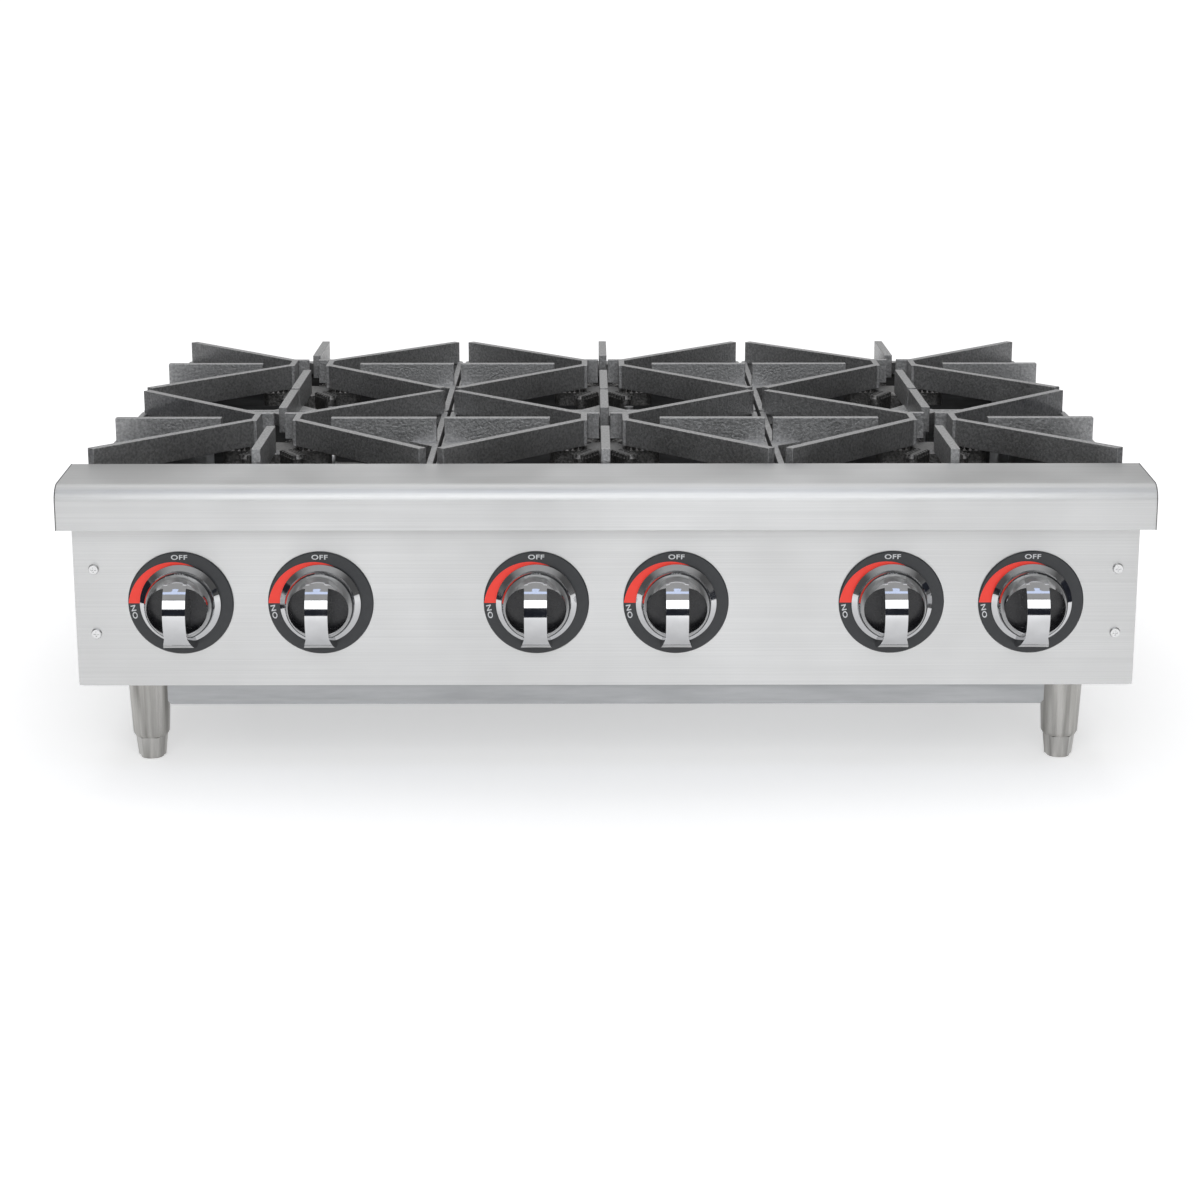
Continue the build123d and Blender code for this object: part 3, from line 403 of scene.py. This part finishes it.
# %% Finishes
finishes = {
    "stainless": sheet_finish("stainless", (0.685, 0.685, 0.68), (0.765, 0.765, 0.76), 0.34, 0.46,
                              Depth=0.00006),
    "side_steel": sheet_finish("side_steel", (0.685, 0.685, 0.68), (0.765, 0.765, 0.76), 0.34, 0.46,
                               grain_axis="Y", Scale_X=900.0, Scale_Y=3.0, Depth=0.00006),
    "edge_steel": sheet_finish("edge_steel", (0.2, 0.2, 0.2), (0.32, 0.32, 0.32), 0.3, 0.45, Depth=0.0001),
    "zinc_steel": sheet_finish("zinc_steel", (0.39, 0.397, 0.405), (0.49, 0.497, 0.505), 0.3, 0.45,
                               Scale_X=12.0, Scale_Y=120.0, Scale_Z=120.0, Depth=0.00005),
    # Near-black steel for the inside of the box: painted shade.
    "painted_shade_steel": sheet_finish("painted_shade_steel", (0.08, 0.08, 0.08), (0.17, 0.17, 0.168), 0.35, 0.5,
                                 Scale_X=12.0, Scale_Y=120.0, Scale_Z=120.0, Depth=0.00005),
    # The third tone of each iron is a painted highlight for the faces that look up.
    "grate_iron": iron_finish("grate_iron", (0.33, 0.33, 0.332), (0.52, 0.52, 0.522), (0.74, 0.74, 0.74)),
    "burner_iron": iron_finish("burner_iron", (0.12, 0.118, 0.115), (0.26, 0.255, 0.25), (0.38, 0.375, 0.37)),
}
for name, *look in (
    ("knob_chrome", (0.50, 0.502, 0.51), (0.56, 0.562, 0.57), 1.0, 0.04, 0.09, 60.0),
    ("bezel_print", (0.03, 0.032, 0.036), (0.045, 0.047, 0.05), 0.0, 0.3, 0.4, 90.0),
    # The upright streaks of the legs and feet are painted reflections.
    ("leg_nickel", (0.17, 0.165, 0.155), (0.52, 0.51, 0.49), 1.0, 0.2, 0.3, 110.0, 0.04),
    ("foot_nickel", (0.26, 0.255, 0.245), (0.6, 0.59, 0.57), 1.0, 0.18, 0.28, 110.0, 0.04),
    # Near-black steel for the rails under the grates: painted shade.
    ("shaded_rail_steel", (0.035, 0.034, 0.034), (0.09, 0.088, 0.086), 0.7, 0.5, 0.7, 30.0),
    ("black_pipe", (0.03, 0.03, 0.03), (0.06, 0.055, 0.05), 0.6, 0.35, 0.55, 40.0),
    ("brass", (0.60, 0.42, 0.16), (0.75, 0.56, 0.26), 1.0, 0.22, 0.4, 50.0),
    ("stem_steel", (0.6, 0.6, 0.6), (0.72, 0.72, 0.72), 1.0, 0.2, 0.35, 80.0),
    ("pilot_tube", (0.6, 0.6, 0.61), (0.74, 0.74, 0.75), 1.0, 0.3, 0.45, 60.0),
    ("pocket_dark", (0.012, 0.012, 0.014), (0.03, 0.03, 0.034), 0.0, 0.2, 0.35, 150.0),
    ("dial_red", (0.93, 0.058, 0.036), (0.98, 0.075, 0.05), 0.0, 0.32, 0.42, 200.0),
    ("dial_white", (0.78, 0.79, 0.8), (0.88, 0.89, 0.9), 0.0, 0.35, 0.45, 200.0),
):
    finishes[name] = plain_finish(name, *look)
# Painted light: the red print glows a little.
red_print_glow = finishes["dial_red"].node_tree.nodes["Principled BSDF"]
red_print_glow.inputs["Emission Color"].default_value = (1.0, 0.04, 0.03, 1)
red_print_glow.inputs["Emission Strength"].default_value = 0.22
print("finishes", sorted(finishes))

# %% [markdown]
# Every solid names its material slot in the record, so one loop dresses them all. The grain of the side panels
# runs from front to back, and the rails under the grates are painted near black, a painted shade under the
# grates.

# %% Dress the solids
for node, slot in slot_of.items():
    dress(nodes[node], slot)
# The rails under the grates take a painted shade.
for node, finish in (("grate_rails", "shaded_rail_steel"), ("burner_rails", "shaded_rail_steel"),
                     ("side_panel_left", "side_steel"), ("side_panel_right", "side_steel")):
    dress(nodes[node], finish)
print("dressed", len(slot_of))

# %% [markdown]
# A CAD solid arrives as loose triangles with razor-sharp edges. Real castings and bent sheets have edges
# that catch the light. So a copy of the solid is welded, its flat triangles are joined again and a small
# bevel is applied, after which the copy stands for the solid. Castings get the widest bevel, sheets the
# narrowest.

# %% Ease the edges
weld_distance = 0.00001
flat_angle = math.radians(0.4)
sharp_angle = math.radians(40)
casting_edge = 0.0010
knob_edge = 0.0008
turned_edge = 0.0004
sheet_edge = 0.0003


def copied(piece, name):
    """A new object with its own copy of the mesh of a piece."""
    copy = bpy.data.objects.new(name, piece.data.copy())
    bpy.context.scene.collection.objects.link(copy)
    return copy


def select_only(piece):
    """Nothing is selected but this piece, and it is the active one."""
    bpy.ops.object.select_all(action="DESELECT")
    piece.select_set(True)
    bpy.context.view_layer.objects.active = piece


def select_faces(piece, wanted):
    """Leaves the piece in edit mode with exactly the wanted faces selected."""
    select_only(piece)
    bpy.ops.object.mode_set(mode="EDIT")
    bpy.ops.mesh.select_mode(type="FACE")
    bpy.ops.mesh.select_all(action="DESELECT")
    bpy.ops.object.mode_set(mode="OBJECT")
    for face in piece.data.polygons:
        face.select = wanted(face)
    bpy.ops.object.mode_set(mode="EDIT")


def stand_for(piece, node):
    """The piece moves with the solid's body, takes its finish and is shown in its stead."""
    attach(piece, body_of[node])
    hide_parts(node)


def ease(like, width, segments=2):
    """Rounds the sharp edges of a welded copy of the first solid, and copies that to all the others like it."""
    piece = copied(nodes[like[0]], like[0] + "_eased")
    select_only(piece)
    bpy.ops.object.mode_set(mode="EDIT")
    bpy.ops.mesh.select_all(action="SELECT")
    bpy.ops.mesh.remove_doubles(threshold=weld_distance)
    bpy.ops.mesh.dissolve_limited(angle_limit=flat_angle)
    bpy.ops.object.mode_set(mode="OBJECT")
    bevel = piece.modifiers.new("eased_edges", "BEVEL")
    bevel.width = width
    bevel.segments = segments
    bevel.limit_method = "ANGLE"
    bevel.angle_limit = sharp_angle
    bevel.miter_outer = "MITER_ARC"
    bpy.ops.object.modifier_apply(modifier=bevel.name)
    bpy.ops.object.shade_smooth_by_angle(angle=sharp_angle)
    steady = piece.modifiers.new("steady_normals", "WEIGHTED_NORMAL")
    steady.weight = 100
    steady.keep_sharp = True
    bpy.ops.object.modifier_apply(modifier=steady.name)
    home = Vector(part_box(like[0])[0])
    for node in like[1:]:
        twin = copied(piece, node + "_eased")
        twin.data.transform(Matrix.Translation(Vector(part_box(node)[0]) - home))
        stand_for(twin, node)
    stand_for(piece, like[0])


rows = ("front", "rear")
columns = ("left", "centre", "right")
corners = ("front_left", "front_right", "rear_left", "rear_right")
knob_numbers = "123456"
sheets = ("front_ledge", "front_panel", "side_panel_left", "side_panel_right", "rear_panel", "crumb_tray")
ease(["grate_%s_%s" % (row, column) for row in rows for column in columns], casting_edge)
for row in rows:
    ease(["burner_%s_%s" % (row, column) for column in columns], casting_edge)
ease(["knob_" + number for number in knob_numbers], knob_edge, segments=3)
ease(["leg_" + corner for corner in corners], turned_edge)
ease(["foot_" + corner for corner in corners], turned_edge)
for node in sheets:
    ease([node], sheet_edge)

# %% [markdown]
# The two pockets of a knob are lined with a near-black film. Their floors and round walls are taken
# from a copy of the eased knob and lifted a few hundredths of a millimetre, so the bevelled rims stay bright.
#
# A face is square on to a direction when its normal points nearly along it, and edge on when nearly across it.
# The slacks leave room for the flat facets of the round wall.

# %% Knob pockets
pocket_depth = 0.010
pocket_radius = 0.020
pocket_offset = 0.0055
grip_half = 0.0095
lining_lift = 0.00003
square_on = 0.98
edge_on = 0.05
floor_slack = 0.0005
wall_slack = 0.0006


def in_pocket(face, middle, back):
    """Whether a face of the knob is the floor or the round wall of a pocket."""
    x, z = abs(face.center.x - middle.x), face.center.z - middle.z
    depth = back - face.center.y
    if x < grip_half + lining_lift or depth < pocket_depth - lining_lift:
        return False
    on_floor = face.normal.y < -square_on and depth < pocket_depth + floor_slack
    off_wall = abs(math.hypot(x - pocket_offset, z) - pocket_radius)
    on_wall = abs(face.normal.y) < edge_on and off_wall < wall_slack
    return on_floor or on_wall


low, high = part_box("bezel_1")
dial_middle = (Vector(low) + Vector(high)) / 2
lining = copied(bpy.data.objects["knob_1_eased"], "pocket_lining_1")
knob_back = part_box("knob_1")[1][1]
select_faces(lining, lambda face: not in_pocket(face, dial_middle, knob_back))
bpy.ops.mesh.delete(type="FACE")
bpy.ops.mesh.select_all(action="SELECT")
bpy.ops.transform.shrink_fatten(value=lining_lift)
bpy.ops.object.mode_set(mode="OBJECT")
print("pocket faces", len(lining.data.polygons))
dress(lining, "pocket_dark")
for number in knob_numbers:
    piece = lining
    if number != "1":
        piece = copied(lining, "pocket_lining_" + number)
        away = Vector(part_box("knob_" + number)[0]) - Vector(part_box("knob_1")[0])
        piece.data.transform(Matrix.Translation(away))
    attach(piece, body_of["knob_" + number])

# %% [markdown]
# The floor of the crumb tray and the inner faces of the rear and side panels are painted dark, a painted shade
# for the dim inside of the box. Those faces are taken from copies of the eased pieces and lifted the same way.

# %% Painted shade inside the box
inward = {
    "crumb_tray": (0, 0, 1),
    "rear_panel": (0, -1, 0),
    "side_panel_left": (1, 0, 0),
    "side_panel_right": (-1, 0, 0),
}
for node, direction in inward.items():
    skin = copied(bpy.data.objects[node + "_eased"], node + "_darkened")
    select_faces(skin, lambda face: face.normal.dot(Vector(direction)) < square_on)
    bpy.ops.mesh.delete(type="FACE")
    bpy.ops.mesh.select_all(action="SELECT")
    bpy.ops.transform.shrink_fatten(value=lining_lift)
    bpy.ops.object.mode_set(mode="OBJECT")
    # Painted shade for the dim inside of the box.
    dress(skin, "painted_shade_steel")
    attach(skin, body_of[node])
    print(node, "darkened faces", len(skin.data.polygons))

# %% [markdown]
# Gas leaves each burner through small drilled bosses along both edges of its six arms. One boss is modelled,
# copied along the arms and joined, and the joined set is copied to every burner.

# %% Burner ports
arms = 6
boss_sides = 14
boss_radius = 0.0022
boss_height = 0.0042
boss_rise = 0.0006
boss_wall = 0.0009
hole_depth = 0.0018
edge_offset = 0.0043
first_reach = 0.0215
reach_step = 0.0052
bosses_along = 6
boss_reach = [first_reach + reach_step * step for step in range(bosses_along)]

bpy.ops.mesh.primitive_cylinder_add(vertices=boss_sides, radius=boss_radius, depth=boss_height,
                                    location=(0, 0, boss_rise - boss_height / 2))
boss = bpy.context.object
bpy.ops.object.transform_apply(location=True)
select_faces(boss, lambda face: face.normal.z > square_on)
bpy.ops.mesh.inset(thickness=boss_wall)
bpy.ops.mesh.extrude_region_move(TRANSFORM_OT_translate={"value": (0, 0, -hole_depth)})
bpy.ops.object.mode_set(mode="OBJECT")
bosses = []
for arm in range(arms):
    turn = Matrix.Rotation(math.radians(360 / arms * arm), 4, "Z")
    for reach in boss_reach:
        for edge in (-edge_offset, edge_offset):
            one = copied(boss, "boss")
            one.data.transform(turn @ Matrix.Translation((reach, edge, 0)))
            bosses.append(one)
bpy.data.objects.remove(boss)
select_only(bosses[0])
for one in bosses:
    one.select_set(True)
bpy.ops.object.join()
port_set = bpy.context.object
bpy.ops.object.shade_smooth_by_angle(angle=sharp_angle)
for row in rows:
    for column in columns:
        low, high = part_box("grate_%s_%s" % (row, column))
        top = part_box("burner_%s_%s" % (row, column))[1][2]
        ports = copied(port_set, "ports_%s_%s" % (row, column))
        ports.data.transform(Matrix.Translation(((low[0] + high[0]) / 2, (low[1] + high[1]) / 2, top)))
        dress(ports, "burner_iron")
        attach(ports, body_of["burner_%s_%s" % (row, column)])
bpy.data.objects.remove(port_set)
print("ports per burner", len(boss_reach) * 2 * arms)

# %% [markdown]
# The dial plates are printed: a red wedge that widens towards full flame, and the words OFF and ON. Each
# print is a film of paint a few hundredths of a millimetre thick, cut from a flat curve or from letters. Angles
# run in degrees from three o'clock, against the clock.

# %% Dial print
film = 0.00004
wedge_start = 65
wedge_sweep = 115
wedge_steps = 40
wedge_inner = 0.0325
wedge_outer = 0.0335
wedge_growth = 0.0106
wedge_bend = 1.15
letter_size = 0.0056
letter_swell = 0.00012
letter_gap = 1.08
letter_widen = 1.35
words = (("OFF", 90, 0.0396), ("ON", 190.7, 0.0400))


def paint_film(curve, name, finish, place, turn, body, widen=1.0):
    """Makes a flat curve or word a mesh, lays it on the panel and leaves its place in the mesh."""
    select_only(curve)
    bpy.ops.object.convert(target="MESH")
    piece = bpy.context.object
    piece.name = name
    piece.data.transform(Matrix.Translation(place) @ Matrix.Rotation(turn, 4, "Y")
                         @ Matrix.Rotation(math.radians(90), 4, "X") @ Matrix.Diagonal((widen, 1, 1, 1)))
    dress(piece, finish)
    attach(piece, body)


def around(radius, angle):
    """How far across and up a point on a circle lies from its centre."""
    return radius * math.cos(math.radians(angle)), radius * math.sin(math.radians(angle))


angles = [wedge_start + wedge_sweep * step / wedge_steps for step in range(wedge_steps + 1)]
rim = [wedge_outer + wedge_growth * ((angle - wedge_start) / wedge_sweep) ** wedge_bend for angle in angles]
ring = list(zip(rim, angles)) + [(wedge_inner, angle) for angle in reversed(angles)]
for number in knob_numbers:
    low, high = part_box("bezel_" + number)
    face = Vector(((low[0] + high[0]) / 2, low[1] - film, (low[2] + high[2]) / 2))
    wedge = bpy.data.curves.new("wedge", "CURVE")
    wedge.dimensions = "2D"
    wedge.fill_mode = "BOTH"
    wedge.extrude = film
    outline = wedge.splines.new("POLY")
    outline.points.add(len(ring) - 1)
    for point, (radius, angle) in zip(outline.points, ring):
        point.co = (*around(radius, angle), 0, 1)
    outline.use_cyclic_u = True
    flat = bpy.data.objects.new("wedge", wedge)
    bpy.context.scene.collection.objects.link(flat)
    paint_film(flat, "dial_wedge_" + number, "dial_red", face, 0, body_of["bezel_" + number])
    for word, angle, radius in words:
        bpy.ops.object.text_add()
        letters = bpy.context.object
        letters.data.body = word
        letters.data.size = letter_size
        letters.data.align_x = "CENTER"
        letters.data.align_y = "CENTER"
        letters.data.extrude = film
        letters.data.offset = letter_swell
        letters.data.space_character = letter_gap
        across, up = around(radius, angle)
        paint_film(letters, "dial_" + word.lower() + "_" + number, "dial_white", face + Vector((across, 0, up)),
                   math.radians(90 - angle), body_of["bezel_" + number], widen=letter_widen)
print("dial prints", len(knob_numbers) * (1 + len(words)))

# %% [markdown]
# Colours are shown as they are rendered, without the look of a film.

# %% Finish
bpy.context.scene.view_settings.view_transform = "Standard"
